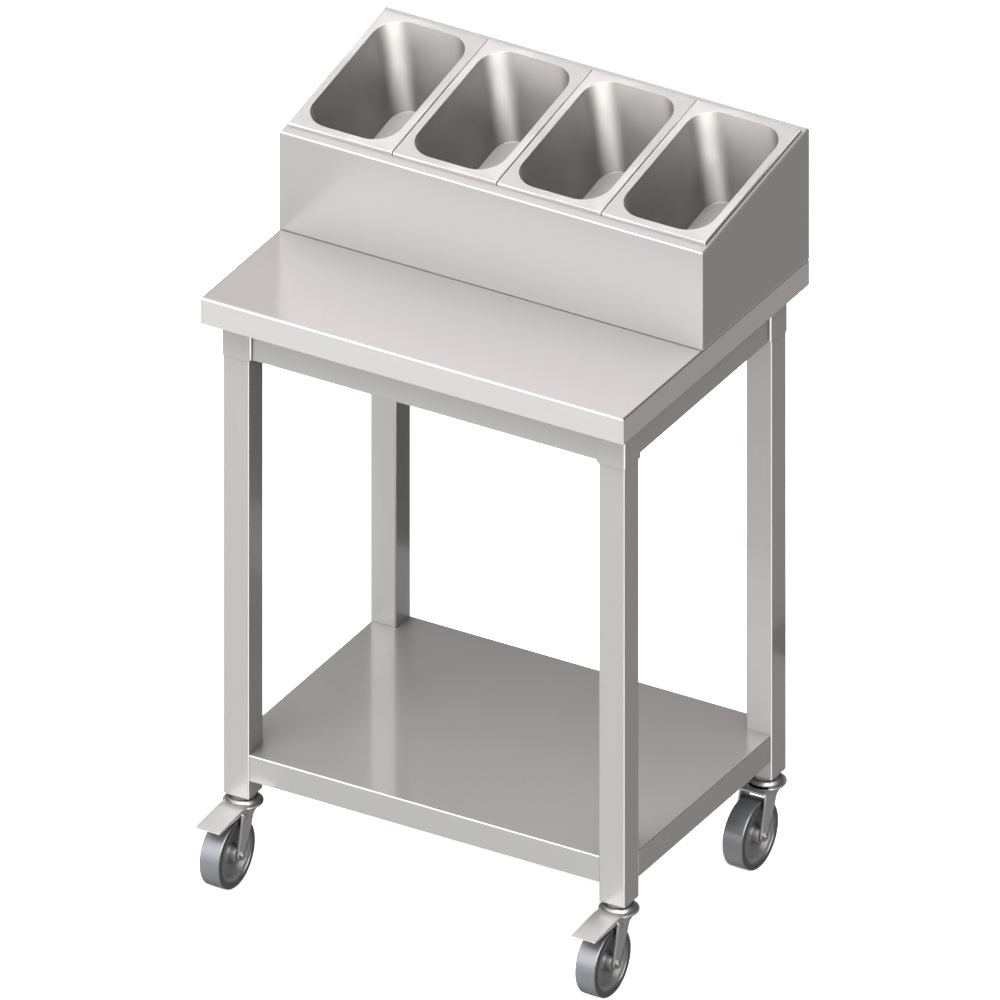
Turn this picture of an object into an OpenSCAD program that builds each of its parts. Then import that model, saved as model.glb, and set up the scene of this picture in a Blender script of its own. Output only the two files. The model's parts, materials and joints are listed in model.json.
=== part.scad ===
// Stainless serving trolley: a folded worktop on four square legs with a lower
// shelf, a sloping housing with four lift-out pans, and swivel casters, the front two braked.
// Frame: +X to the right, +Y to the back, +Z up, floor at Z = 0. The origin is
// the middle of the footprint, which reaches from the pedals to the back edge.

/* [Worktop] */
// Width of the worktop
table_w = 660; // [620:2:760]
// Depth of the worktop
table_d = 502; // [480:2:620]
// Height of the worktop above the floor
table_h = 908; // [850:1:960]
// Height of the worktop's folded edge
edge_h = 40; // [34:1:50]
// Sheet thickness of the worktop
top_t = 1.5; // [1:0.1:2]
// Outside radius of the worktop's and the housing's bends
bend_r = 3; // [2.5:0.1:4]
// Width of the return under the worktop's edge
return_w = 13; // [8:1:14]
// Thickness of the board bonded under the worktop
board_t = 18; // [12:1:19]

/* [Legs] */
// Width of the square leg tube
leg_w = 40; // [36:1:45]
// Wall of the leg tube
leg_t = 1.5; // [1:0.1:2]
// Outside corner radius of the leg tube
leg_r = 2.5; // [2.2:0.1:4]
// From the worktop's side to the leg's outer face
leg_in_x = 17; // [17:1:40]
// From the worktop's front or back to the leg's outer face
leg_in_y = 32; // [20:1:50]

/* [Leg sockets] */
// Socket wall on the leg's outer faces
socket_out = 1.5; // [1:0.1:2]
// Socket wall on the leg's inner faces
socket_in = 4; // [3:0.1:6]
// How far the socket hangs below the worktop's edge
socket_drop = 60; // [50:1:80]
// Thickness of the plate that closes the socket's top
socket_plate = 3; // [2:0.5:5]

/* [Apron] */
// How far the apron hangs below the worktop's edge
apron_drop = 58; // [40:1:60]
// Sheet thickness of the apron
apron_t = 1.5; // [1:0.1:2]
// How far the apron stands behind the socket's outer face
apron_set = 5; // [3:0.5:10]
// Width of the apron's top flange, screwed to the board
apron_flange = 20; // [15:1:30]
// Width of the apron's bottom return
apron_return = 12; // [8:1:15]

/* [Shelf] */
// Height of the shelf's top above the floor
shelf_h = 194; // [185:1:400]
// Height of the shelf's folded edge
shelf_edge = 40; // [30:1:50]
// Sheet thickness of the shelf
shelf_t = 1.2; // [1:0.1:2]
// How far the shelf's edge stands behind the leg's outer face
shelf_set = 1; // [0.5:0.1:3]
// Width of the return under the shelf's edge
shelf_return = 12; // [8:1:20]
// Width of the stiffener under the shelf
rib_w = 60; // [40:1:80]
// Height of the stiffener under the shelf
rib_h = 22; // [15:1:30]
// Width of each foot of the stiffener
rib_foot = 15; // [10:1:20]

/* [Housing] */
// Depth of the housing on the worktop
housing_d = 288; // [288:1:300]
// Height of the housing at its front
housing_front_h = 152; // [145:1:200]
// Height of the housing at its back
housing_rear_h = 205; // [202:1:240]
// Sheet thickness of the housing
housing_t = 1.5; // [1:0.1:2]
// Width of the ledge under the pans at the front
ledge_front = 22; // [20:0.5:24]
// Width of the ledge under the pans at the back
ledge_rear = 20; // [18:0.5:21]
// Width of the ledge under the pans at the sides
ledge_side = 12; // [10:0.5:13]
// Width of the housing's foot flange on the worktop
foot_w = 12; // [8:1:20]
// Width of the bars between the pans
bar_w = 18; // [12:1:20]
// Height of the bars between the pans
bar_h = 12; // [8:1:20]

/* [Pans] */
// From the worktop's side to the nearest pan
pan_side = 4.5; // [4:0.5:8]
// Length of a pan over its rim
pan_l = 265; // [255:0.5:265]
// Depth of a pan below its rim
pan_depth = 150; // [65:5:150]
// Sheet thickness of a pan
pan_t = 0.9; // [0.6:0.1:1.2]
// Gap between neighbouring pans
pan_gap = 1; // [0.6:0.1:3]
// From the housing's front edge to the pans
pan_set = 15; // [14:0.5:16]
// Height of the turned-down lip round a pan's rim
lip_h = 6; // [4:0.5:8]
// Outside bend radius of the lip
lip_r = 2; // [1.5:0.1:3]
// Flat width of the rim
rim_w = 11.5; // [10:0.5:16]
// Radius between the rim and the pan's wall
mouth_r = 2; // [1.5:0.1:4]
// Corner radius of the pan's mouth
mouth_corner_r = 40; // [34:1:45]
// Draft of the pan's walls in degrees
draft = 4; // [2:0.5:6]
// Radius between the pan's walls and its floor
floor_r = 4; // [3:1:16]
// Clearance between a pan's lip and its ledge
seat_gap = 0.1; // [0.05:0.05:0.3]

/* [Caster] */
// Height of a caster from the floor to the leg
caster_h = 125; // [122:1:140]
// Wheel diameter
wheel_d = 100; // [90:1:100]
// Tread width
wheel_w = 32; // [26:1:34]
// From the swivel axis forward to the wheel's axle
trail = 43; // [38:1:46]
// Shoulder radius of the tyre
shoulder_r = 6; // [3:0.5:8]
// Radial thickness of the tyre
tyre_t = 10; // [7:0.5:14]
// Radius of the wheel's hub
hub_r = 11; // [9:0.5:14]
// Thickness of the wheel's web
web_t = 9; // [6:0.5:14]
// Axle radius
axle_r = 4; // [3:0.5:5]
// Running clearance of a shaft in its hole, on the radius
run_gap = 0.05; // [0.03:0.01:0.1]
// Clearance between the wheel's hub and a fork arm
side_gap = 0.8; // [0.4:0.1:1.2]
// How far the hub stands out past the tread on each side
hub_proud = 1.7; // [1.2:0.1:3]
// Thickness of the fork's plate
fork_t = 3; // [2.5:0.1:4]
// Radius of the fork's crown
crown_r = 28; // [26:0.5:30]
// From the leg down to the top of the crown
crown_drop = 14; // [13:0.5:16]
// From the swivel axis forward to the fork's front edge at the crown
fork_front = 37; // [34:0.5:40]
// Radius of the fork arm's rounded end
arm_end_r = 8; // [7:0.5:10]
// Radius of the upper race
race_r = 24; // [22:0.5:25]
// Clearance between the upper race and the crown
race_gap = 0.5; // [0.3:0.1:0.6]
// Radius of the swivel bolt
swivel_r = 6; // [5:0.5:7]
// Radius of the plug's collar under the leg
collar_r = 17.5; // [15:0.5:20]
// Height of the plug's collar
collar_h = 7; // [5:0.5:8]
// Length of the plug inside the leg
plug_h = 45; // [30:1:60]
// Clearance of the plug in the leg tube, on each side
plug_gap = 0.3; // [0.2:0.1:0.5]

/* [Brake pedal] */
// From the swivel axis to the pedal's front edge
pedal_reach = 97; // [94:1:105]
// Width of the pedal
pedal_w = 38; // [36:0.5:40]
// Thickness of the pedal's plate
pedal_t = 2; // [1.5:0.1:2.5]
// Height of the pedal's folded side
pedal_skirt = 6; // [4:0.5:7]
// How far the pedal's tip dips below its flat part
pedal_dip = 5; // [3:0.5:5]
// Radius of the pedal's pin
pin_r = 2; // [1.5:0.1:2.5]

/* [Hidden] */
$fn = 96;
corners = [[-1, -1], [1, -1], [-1, 1], [1, 1]];
arc_steps = 6;
cut = 1;

// The worktop's front edge in Y: the pedals stand in front of it by nose
nose = pedal_reach - leg_in_y - leg_w / 2;
front_y = (nose - table_d) / 2;
mid_y = front_y + table_d / 2;
rear_y = front_y + table_d;

edge_z = table_h - edge_h;
board_z = table_h - top_t - board_t;
leg_x = table_w / 2 - leg_in_x - leg_w / 2;
leg_y = table_d / 2 - leg_in_y - leg_w / 2;
socket_r = leg_r + socket_out;
socket_inner = leg_w / 2 + socket_in;
socket_outer = leg_w / 2 + socket_out;
apron_x = leg_x + socket_outer - apron_set;
apron_y = leg_y + socket_outer - apron_set;
weld_gap = 0.3;

shelf_w = 2 * (leg_x + leg_w / 2 - shelf_set);
shelf_d = 2 * (leg_y + leg_w / 2 - shelf_set);
shelf_bend_r = shelf_t + 1;
notch = leg_w - shelf_set + weld_gap;

housing_y = rear_y - housing_d;
slope = atan((housing_rear_h - housing_front_h) / housing_d);
slope_l = housing_d / cos(slope);
// The housing's mitre lines run from its corners past the ledge's corners to these points
mitre_x = table_w / 2 - 2 * ledge_side;
mitre_front = 2 * ledge_front * cos(slope);
mitre_rear = housing_d - 2 * ledge_rear * cos(slope);
screw_r = 2;
screw_head_r = 4;
screw_head_h = 2;
screw_l = 12;
screw_gap = 0.3;

pan_w = (table_w - 2 * pan_side - 3 * pan_gap) / 4;
pan_pitch = pan_w + pan_gap;
pan_cx = pan_w / 2 - rim_w - mouth_corner_r;
pan_cy = pan_l / 2 - rim_w - mouth_corner_r;
pan_floor_z = floor_r + pan_t - pan_depth;
pan_floor_x = mouth_corner_r - (mouth_r + floor_r - sin(draft) * (pan_floor_z + mouth_r)) / cos(draft);

wheel_r = wheel_d / 2;
rim_r = wheel_r - tyre_t;
hub_half = wheel_w / 2 + hub_proud;
arm_in = hub_half + side_gap;
arm_out = arm_in + fork_t;
crown_top = caster_h - crown_drop;
crown_bottom = crown_top - fork_t;
race_bottom = crown_top + race_gap;
collar_bottom = caster_h - collar_h;
swivel_head_r = 10;
swivel_head_h = 7;
swivel_gap = 0.3;
axle_head_r = 6.5;
axle_head_h = 4;

pedal_flat_front = 40;
pedal_top = crown_top + 4;
pedal_notch_r = race_r + 1.5;
pedal_rear = 19;
pin_y = -30;
pin_z = crown_bottom - 4.5;
ear_t = 2;
ear_x = 13;
ear_r = 3;
shoe_r = 3;
shoe_y = -58;
shoe_z = pin_z + 1;
slot_half = ear_x + ear_t + 0.8;
slot_rear = 23;

// Points along an arc about c, from angle a to angle b
function arc(c, r, a, b) =
    [for (i = [0 : arc_steps]) c + r * [cos(a + (b - a) * i / arc_steps), sin(a + (b - a) * i / arc_steps)]];

function unit(v) = v / norm(v);

// The turn from angle a to angle b, between -180 and 180 degrees
function turn(a, b) = (b - a) > 180 ? b - a - 360 : (b - a) < -180 ? b - a + 360 : b - a;

// One polygon corner at p, between the corners before and after it, rounded to radius r
function bend(before, p, after, r) =
    let (u = unit(before - p), v = unit(after - p), half = acos(u * v) / 2)
    let (c = p + unit(u + v) * r / sin(half), start = p + u * r / tan(half) - c, end = p + v * r / tan(half) - c)
    let (a = atan2(start.y, start.x), b = atan2(end.y, end.x))
    arc(c, r, a, a + turn(a, b));

// A polygon's points with each corner rounded to its own radius
function rounded(points, radii) =
    let (n = len(points))
    [for (i = [0 : n - 1]) each radii[i] == 0 ? [points[i]]
        : bend(points[(i + n - 1) % n], points[i], points[(i + 1) % n], radii[i])];

// An outline drawn in Y and Z, extruded along X
module along_x(length) {
    rotate([90, 0, 90]) linear_extrude(length, center = true) children();
}

// An outline drawn in X and Z, extruded along Y
module along_y(length) {
    rotate([90, 0, 0]) linear_extrude(length, center = true) children();
}

// A box from one corner to the other
module box(from, to) {
    translate(from) cube(to - from);
}

// A square with rounded corners, centred
module round_square(size, r) {
    union() {
        square([size, size - 2 * r], center = true);
        square([size - 2 * r, size], center = true);
        for (c = corners) translate([c.x * (size / 2 - r), c.y * (size / 2 - r)]) circle(r);
    }
}

// A block below Z = 0 whose four top edges are bends
module bent_block(w, d, h, r) {
    intersection() {
        along_y(d) polygon(rounded([[-w / 2, -h], [w / 2, -h], [w / 2, 0], [-w / 2, 0]], [0, 0, r, r]));
        along_x(w) polygon(rounded([[-d / 2, -h], [d / 2, -h], [d / 2, 0], [-d / 2, 0]], [0, 0, r, r]));
    }
}

// A sheet tray with its top at Z = 0, edges folded down by h and returned inward by back
module tray(w, d, h, t, r, back) {
    difference() {
        bent_block(w, d, h, r);
        translate([0, 0, -t]) bent_block(w - 2 * t, d - 2 * t, h - 2 * t, r - t);
        box([-w / 2 + back, -d / 2 + back, -h - cut], [w / 2 - back, d / 2 - back, -h + t + cut]);
    }
}

module worktop() {
    color("gainsboro") translate([0, mid_y, table_h])
        tray(table_w, table_d, edge_h, top_t, bend_r, return_w);
}

// The board stops short of the bends inside the folded edge
module worktop_board() {
    inner_w = table_w / 2 - bend_r;
    inner_d = table_d / 2 - bend_r;
    color("burlywood") difference() {
        translate([0, mid_y, 0]) box([-inner_w, -inner_d, board_z], [inner_w, inner_d, table_h - top_t]);
        at_screws() cylinder(r = screw_r, h = screw_l);
    }
}

// A C section with its web's outer face at Y = 0, seen from the end, opening towards +Y
module apron_section() {
    h = board_z - edge_z + apron_drop;
    z = board_z - h;
    difference() {
        polygon([[0, z], [apron_flange, z], [apron_flange, board_z], [0, board_z]]);
        translate([apron_t, z + apron_t]) square([apron_flange, h - 2 * apron_t]);
        translate([apron_return, z - cut]) square([apron_flange, apron_t + 2 * cut]);
    }
}

// One apron facing -Y, whose ends meet the sockets' inner faces
module apron_bar(length) {
    color("silver") along_x(length) apron_section();
}

module apron_long(side) {
    difference() {
        translate([0, mid_y, 0]) rotate([0, 0, side < 0 ? 0 : 180]) translate([0, -apron_y, 0])
            apron_bar(2 * (leg_x - socket_inner));
        at_screws() cylinder(r = screw_r + screw_gap, h = 4 * apron_t, center = true);
    }
}

module apron_short(side) {
    difference() {
        translate([0, mid_y, 0]) rotate([0, 0, side < 0 ? -90 : 90]) translate([0, -apron_x, 0])
            apron_bar(2 * (leg_y - socket_inner));
        at_screws() cylinder(r = screw_r + screw_gap, h = 4 * apron_t, center = true);
    }
}

// A screw pointing up, with its head's top at Z = 0
module screw() {
    translate([0, 0, -screw_head_h]) cylinder(r = screw_head_r, h = screw_head_h);
    cylinder(r = screw_r, h = screw_l);
}

// Copies its children to each screw in the aprons' top flanges, two a side, at the flange's underside
module at_screws() {
    inset = (apron_flange + apron_t) / 2;
    translate([0, mid_y, board_z - apron_t]) for (c = corners) {
        translate([c.x * leg_x / 2, c.y * (apron_y - inset), 0]) children();
        translate([c.x * (apron_x - inset), c.y * leg_y / 2, 0]) children();
    }
}

// Screws up through the aprons, seated in the board
module apron_screws() {
    color("gray") at_screws() screw();
}

// Moves its children to a leg's axis and turns the leg's inner sides to -X and -Y
module at_leg(sx, sy) {
    translate([sx * leg_x, mid_y + sy * leg_y, 0])
        mirror([sx < 0 ? 1 : 0, 0, 0]) mirror([0, sy < 0 ? 1 : 0, 0]) children();
}

// The socket's outline over its walls, thin on the outer sides and thick on the inner ones
module socket_outline() {
    shift = (socket_out - socket_in) / 2;
    translate([shift, shift]) round_square(socket_outer + socket_inner, socket_r);
}

module socket(sx, sy) {
    bottom = edge_z - socket_drop;
    color("silver") at_leg(sx, sy) difference() {
        translate([0, 0, bottom]) linear_extrude(board_z - bottom) socket_outline();
        translate([0, 0, bottom - cut]) linear_extrude(board_z - socket_plate - bottom + cut)
            square(leg_w, center = true);
        bevel(bottom);
        mirror([1, -1, 0]) bevel(bottom);
    }
}

// Cuts the lower edge of the socket's inner wall on the -X side down to the leg
module bevel(z) {
    along_y(2 * leg_w) polygon([
        [-socket_inner - cut, z - cut], [-leg_w / 2, z - cut], [-leg_w / 2, z],
        [-socket_inner, z + socket_in], [-socket_inner - cut, z + socket_in]
    ]);
}

module leg(sx, sy) {
    color("silver") at_leg(sx, sy) translate([0, 0, caster_h])
        linear_extrude(board_z - socket_plate - caster_h) difference() {
            round_square(leg_w, leg_r);
            round_square(leg_w - 2 * leg_t, leg_r - leg_t);
        }
}

// A folded tray notched round the legs
module shelf() {
    color("lightgray") translate([0, mid_y, shelf_h]) difference() {
        tray(shelf_w, shelf_d, shelf_edge, shelf_t, shelf_bend_r, shelf_return);
        for (c = corners) {
            mirror([c.x < 0 ? 1 : 0, 0, 0]) mirror([0, c.y < 0 ? 1 : 0, 0])
                translate([shelf_w / 2 - notch, shelf_d / 2 - notch, -shelf_edge - cut])
                cube([leg_w, leg_w, shelf_edge + 2 * cut]);
        }
    }
}

// A hat section under the middle of the shelf, from bend to bend
module shelf_stiffener() {
    half = rib_w / 2;
    length = shelf_w - 2 * shelf_bend_r;
    color("silver") translate([0, mid_y, shelf_h - shelf_t]) along_x(length) difference() {
        union() {
            translate([-half, -rib_h]) square([rib_w, rib_h]);
            translate([-half - rib_foot, -shelf_t]) square([rib_w + 2 * rib_foot, shelf_t]);
        }
        translate([-half + shelf_t, -rib_h + shelf_t]) square([rib_w - 2 * shelf_t, rib_h]);
    }
}

// Moves its children onto the housing's sloping top: Y runs up the slope from its front edge
module on_slope() {
    translate([0, housing_y, table_h + housing_front_h]) rotate([slope, 0, 0]) children();
}

// Keeps the part of its children between two mitre planes, seen from above
module mitred(points) {
    intersection() {
        children();
        linear_extrude(housing_rear_h + cut) polygon(points);
    }
}

// A folded strip from side to side, in Y and Z: foot flange, wall up to top and ledge in to ledge_y.
// Its wall stands at wall_y, with face = 1 where the rest lies behind it and -1 where it lies in front.
module housing_strip(wall_y, top, ledge_y, face) {
    ledge = [ledge_y, top + (ledge_y - wall_y) * tan(slope)];
    inner_y = wall_y + face * housing_t;
    inner_z = top + (inner_y - wall_y) * tan(slope) - housing_t / cos(slope);
    foot_y = wall_y + face * foot_w;
    along_x(table_w) polygon(rounded([
        [foot_y, 0], [wall_y, 0], [wall_y, top], ledge, ledge + housing_t * [sin(slope), -cos(slope)],
        [inner_y, inner_z], [inner_y, housing_t], [foot_y, housing_t]
    ], [0, 0, bend_r, 0, 0, bend_r - housing_t, 0, 0]));
}

module housing_front() {
    color("silver") translate([0, housing_y, table_h])
        mitred([[-table_w / 2, 0], [table_w / 2, 0], [mitre_x, mitre_front], [-mitre_x, mitre_front]])
        housing_strip(0, housing_front_h, ledge_front * cos(slope), 1);
}

module housing_rear() {
    color("silver") translate([0, housing_y, table_h])
        mitred([[table_w / 2, housing_d], [-table_w / 2, housing_d], [-mitre_x, mitre_rear], [mitre_x, mitre_rear]])
        housing_strip(housing_d, housing_rear_h, housing_d - ledge_rear * cos(slope), -1);
}

// A side wall with its ledge bent along the slope, and its foot flange
module housing_side(side) {
    x = table_w / 2;
    deep = 2 * housing_rear_h;
    color("silver") mirror([side < 0 ? 1 : 0, 0, 0]) translate([0, housing_y, table_h])
        mitred([[x, 0], [x, housing_d], [mitre_x, mitre_rear], [mitre_x, mitre_front]]) union() {
            translate([0, 0, housing_front_h]) rotate([slope, 0, 0]) along_y(4 * housing_d) polygon(rounded([
                [x, -deep], [x, 0], [x - ledge_side, 0], [x - ledge_side, -housing_t],
                [x - housing_t, -housing_t], [x - housing_t, -deep]
            ], [0, bend_r, 0, 0, bend_r - housing_t, 0]));
            box([x - foot_w, 0, 0], [x, housing_d, housing_t]);
        }
}

// Upturned channels between the front and back ledges, one under each seam between pans
module pan_bars() {
    length = slope_l - ledge_front - ledge_rear;
    color("silver") on_slope() for (i = [-1 : 1])
        translate([i * pan_pitch, ledge_front + length / 2, 0]) along_y(length) difference() {
            translate([-bar_w / 2, -bar_h]) square([bar_w, bar_h]);
            translate([-bar_w / 2 + housing_t, -bar_h - cut])
                square([bar_w - 2 * housing_t, bar_h - housing_t + cut]);
        }
}

// Half of the pan's section, out from a corner's centre: the hollow, or grown by the sheet
module pan_section(grow, top) {
    mouth = [mouth_corner_r, -mouth_r];
    foot = [pan_floor_x, pan_floor_z];
    polygon(concat(
        [[0, top], [mouth_corner_r, top]],
        arc(mouth, mouth_r - grow, 90, 180 - draft),
        arc(foot, floor_r + grow, -draft, -90),
        [[0, pan_floor_z - floor_r - grow]]
    ));
}

// The whole section across the pan, with its corner centres at half on either side
module pan_across(half, grow, top) {
    translate([half, 0]) pan_section(grow, top);
    mirror([1, 0]) translate([half, 0]) pan_section(grow, top);
    translate([-half, pan_floor_z - floor_r - grow])
        square([2 * half, top - pan_floor_z + floor_r + grow]);
}

// The pan's bowl as a solid: straight walls both ways and turned corners
module pan_bowl(grow, top) {
    along_y(2 * pan_cy) pan_across(pan_cx, grow, top);
    along_x(2 * pan_cx) pan_across(pan_cy, grow, top);
    for (i = [0 : 3]) rotate([0, 0, 90 * i])
        translate(i % 2 == 0 ? [pan_cx, pan_cy, 0] : [pan_cy, pan_cx, 0])
        rotate_extrude(angle = 90) pan_section(grow, top);
}

// A pressed pan on its ledges, counted from the left
module pan(number) {
    color("lightgray") on_slope()
        translate([(number - 2.5) * pan_pitch, pan_set + pan_l / 2, lip_h + seat_gap]) difference() {
            union() {
                difference() {
                    bent_block(pan_w, pan_l, lip_h, lip_r);
                    translate([0, 0, -pan_t])
                        bent_block(pan_w - 2 * pan_t, pan_l - 2 * pan_t, lip_h, lip_r - pan_t);
                }
                pan_bowl(pan_t, -pan_t / 2);
            }
            pan_bowl(0, cut);
        }
}

// Moves its children to a caster: Z = 0 on the floor, X = Y = 0 on the swivel axis
module at_caster(sx, sy) {
    translate([sx * leg_x, mid_y + sy * leg_y, 0]) children();
}

// A turned solid about the swivel axis, from its half section
module turned() {
    rotate_extrude() children();
}

// The expanding plug in the leg's foot, with a collar below it
module plug(sx, sy) {
    core_r = leg_w / 2 - leg_t - plug_gap;
    bore_r = swivel_r + run_gap;
    color("dimgray") at_caster(sx, sy) turned() polygon([
        [bore_r, collar_bottom], [collar_r - 1, collar_bottom], [collar_r, collar_bottom + 1],
        [collar_r, caster_h], [core_r, caster_h], [core_r, caster_h + plug_h - 3],
        [core_r - 3, caster_h + plug_h], [bore_r, caster_h + plug_h]
    ]);
}

// The swivel bolt with the upper race on it and its head under the crown
module swivel_bolt(sx, sy) {
    head_top = crown_bottom - swivel_gap;
    color("silver") at_caster(sx, sy) turned() polygon([
        [0, head_top - swivel_head_h], [swivel_head_r - 1, head_top - swivel_head_h],
        [swivel_head_r, head_top - swivel_head_h + 1], [swivel_head_r, head_top], [swivel_r, head_top],
        [swivel_r, race_bottom], [race_r - 0.5, race_bottom], [race_r, race_bottom + 0.5],
        [race_r, race_bottom + 2.5], [race_r - 1.5, collar_bottom - 1], [race_r - 3.5, collar_bottom],
        [swivel_r, collar_bottom], [swivel_r, caster_h + plug_h], [0, caster_h + plug_h]
    ]);
}

// Seen from the side, in Y and Z: the arm from under the crown to the axle
module arm_outline() {
    axle = [-trail, wheel_r];
    union() {
        polygon(rounded([
            [-fork_front, crown_top], [crown_r * 0.6, crown_top], [crown_r * 0.6, crown_bottom],
            [-8, crown_bottom - 8], [-14, crown_bottom - 24], axle + [arm_end_r - 0.6, -3],
            axle + [-arm_end_r, 0]
        ], [0, 0, 0, 10, 30, 0, 0]));
        translate(axle) circle(arm_end_r);
    }
}

// Seen from the front, in X and Z: the fork's inverted U
module fork_section() {
    low = wheel_r - 2 * arm_end_r;
    outer_r = fork_t + 3;
    difference() {
        polygon(rounded([[-arm_out, low], [arm_out, low], [arm_out, crown_top], [-arm_out, crown_top]],
            [0, 0, outer_r, outer_r]));
        polygon(rounded([[-arm_in, low - cut], [arm_in, low - cut], [arm_in, crown_bottom],
            [-arm_in, crown_bottom]], [0, 0, outer_r - fork_t, outer_r - fork_t]));
    }
}

// The pressed fork: a round crown on a bent U, slotted for the pedal where it has a brake
module fork(sx, sy, braked) {
    color("lightslategray") at_caster(sx, sy) difference() {
        union() {
            intersection() {
                along_y(4 * crown_r + 2 * trail) fork_section();
                along_x(4 * arm_out) arm_outline();
            }
            turned() polygon(rounded([[0, crown_bottom], [crown_r - 1.5, crown_bottom], [crown_r, crown_top - 1.5],
                [crown_r, crown_top], [0, crown_top]], [0, 0, 0, 1, 0]));
        }
        translate([0, 0, crown_bottom - cut]) cylinder(r = swivel_r + run_gap, h = fork_t + 2 * cut);
        along_x(4 * arm_out) translate([-trail, wheel_r]) circle(axle_r + run_gap);
        if (braked) {
            box([-slot_half, -2 * fork_front, crown_bottom - cut], [slot_half, -slot_rear, crown_top + cut]);
            along_x(4 * arm_out) translate([pin_y, pin_z]) circle(pin_r + run_gap);
        }
    }
}

// The axle bolt with a hexagonal head on the left and a nut on the right
module axle(sx, sy) {
    color("gray") at_caster(sx, sy) translate([0, -trail, wheel_r]) rotate([0, 90, 0]) {
        cylinder(r = axle_r, h = 2 * arm_out + 2, center = true);
        for (z = [-arm_out - axle_head_h, arm_out]) translate([0, 0, z])
            cylinder(r = axle_head_r, h = axle_head_h, $fn = 6);
        translate([0, 0, arm_out]) cylinder(r = axle_r, h = axle_head_h + 1.5);
    }
}

// A wheel turned about its axle, from its half section in radius and width
module spun(sx, sy) {
    at_caster(sx, sy) translate([0, -trail, wheel_r]) rotate([0, 90, 0]) rotate_extrude() children();
}

// The wheel's core: a hub, a thin web and a rim under the tyre
module wheel(sx, sy) {
    bore = axle_r + run_gap;
    rim_t = 4;
    rim_half = wheel_w / 2 - 2;
    web = web_t / 2;
    color("darkslategray") spun(sx, sy) polygon([
        [bore, -hub_half], [hub_r - 1, -hub_half], [hub_r, -hub_half + 1], [hub_r + 2, -web],
        [rim_r - rim_t - 2, -web], [rim_r - rim_t, -rim_half], [rim_r, -rim_half],
        [rim_r, rim_half], [rim_r - rim_t, rim_half], [rim_r - rim_t - 2, web],
        [hub_r + 2, web], [hub_r, hub_half - 1], [hub_r - 1, hub_half], [bore, hub_half]
    ]);
}

module tyre(sx, sy) {
    half = wheel_w / 2;
    color("slategray") spun(sx, sy) polygon(rounded(
        [[rim_r, -half + 2], [rim_r + 3, -half], [wheel_r, -half], [wheel_r, half], [rim_r + 3, half],
            [rim_r, half - 2]],
        [0, 0, shoulder_r, shoulder_r, 0, 0]));
}

// Height of the pedal's top at a distance in front of the swivel axis
function pedal_height(y) = pedal_top - pedal_dip * max(0, y - pedal_flat_front) / (pedal_reach - pedal_flat_front);

// Seen from the side, in Y and Z: the pedal's plate, flat behind and dipping in front
module pedal_plate() {
    tip = [-pedal_reach, pedal_height(pedal_reach)];
    flat_end = [-pedal_flat_front, pedal_top];
    down = [0, pedal_t];
    polygon([[-pedal_rear, pedal_top], flat_end, tip, tip - down, flat_end - down, [-pedal_rear, pedal_top] - down]);
}

// Seen from the side: the fold under the plate's edge, which runs out towards the tip
module pedal_fold() {
    start = pedal_flat_front + 2;
    end = pedal_reach - 2;
    polygon([
        [-start, pedal_height(start) - pedal_t / 2], [-end, pedal_height(end) - pedal_t / 2],
        [-end, pedal_height(end) - pedal_t - 0.5], [-start, pedal_height(start) - pedal_skirt]
    ]);
}

// The pedal: a plate folded down at its sides, two ears on the pin and a shoe above the tyre
module pedal(sx, sy) {
    half = pedal_w / 2;
    color("darkgray") at_caster(sx, sy) difference() {
        union() {
            along_x(pedal_w) pedal_plate();
            for (x = [-1, 1]) {
                translate([x * (half - pedal_t / 2), 0, 0]) along_x(pedal_t) pedal_fold();
                translate([x * (ear_x + ear_t / 2), 0, 0]) along_x(ear_t) pedal_ear();
            }
            along_x(2 * ear_x) translate([shoe_y, shoe_z]) circle(shoe_r);
        }
        translate([0, 0, pedal_top - 2 * pedal_t]) cylinder(r = pedal_notch_r, h = 4 * pedal_t);
        along_x(pedal_w) translate([pin_y, pin_z]) circle(pin_r + run_gap);
    }
}

// An ear from the plate down to the pin, and forward to carry the shoe
module pedal_ear() {
    under = pedal_top - pedal_t / 2;
    polygon([
        [pin_y - ear_r - 2, under], [pin_y + ear_r, under], [pin_y + ear_r, pin_z], [pin_y, pin_z - ear_r],
        [pin_y - ear_r, pin_z - 1], [shoe_y, shoe_z - 1], [shoe_y - ear_r, shoe_z],
        [shoe_y - ear_r, under - 2], [-pedal_flat_front, under]
    ]);
}

// The pedal's pin with a rivet head outside each arm
module pedal_pin(sx, sy) {
    color("gray") at_caster(sx, sy) translate([0, pin_y, pin_z]) rotate([0, 90, 0]) {
        cylinder(r = pin_r, h = 2 * arm_out, center = true);
        for (z = [-arm_out - 1, arm_out]) translate([0, 0, z]) cylinder(r = 2 * pin_r, h = 1);
    }
}

worktop();
worktop_board();
apron_long(-1);  // apron_front
apron_long(1);  // apron_rear
apron_short(-1);  // apron_left
apron_short(1);  // apron_right
apron_screws();
socket(-1, -1);  // socket_front_left
socket(1, -1);  // socket_front_right
socket(-1, 1);  // socket_rear_left
socket(1, 1);  // socket_rear_right
leg(-1, -1);  // leg_front_left
leg(1, -1);  // leg_front_right
leg(-1, 1);  // leg_rear_left
leg(1, 1);  // leg_rear_right
shelf();
shelf_stiffener();
housing_front();
housing_rear();
housing_side(-1);  // housing_left
housing_side(1);  // housing_right
pan_bars();
pan(1);  // pan_1
pan(2);  // pan_2
pan(3);  // pan_3
pan(4);  // pan_4
plug(-1, -1);  // plug_front_left
plug(1, -1);  // plug_front_right
plug(-1, 1);  // plug_rear_left
plug(1, 1);  // plug_rear_right
swivel_bolt(-1, -1);  // swivel_bolt_front_left
swivel_bolt(1, -1);  // swivel_bolt_front_right
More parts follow.
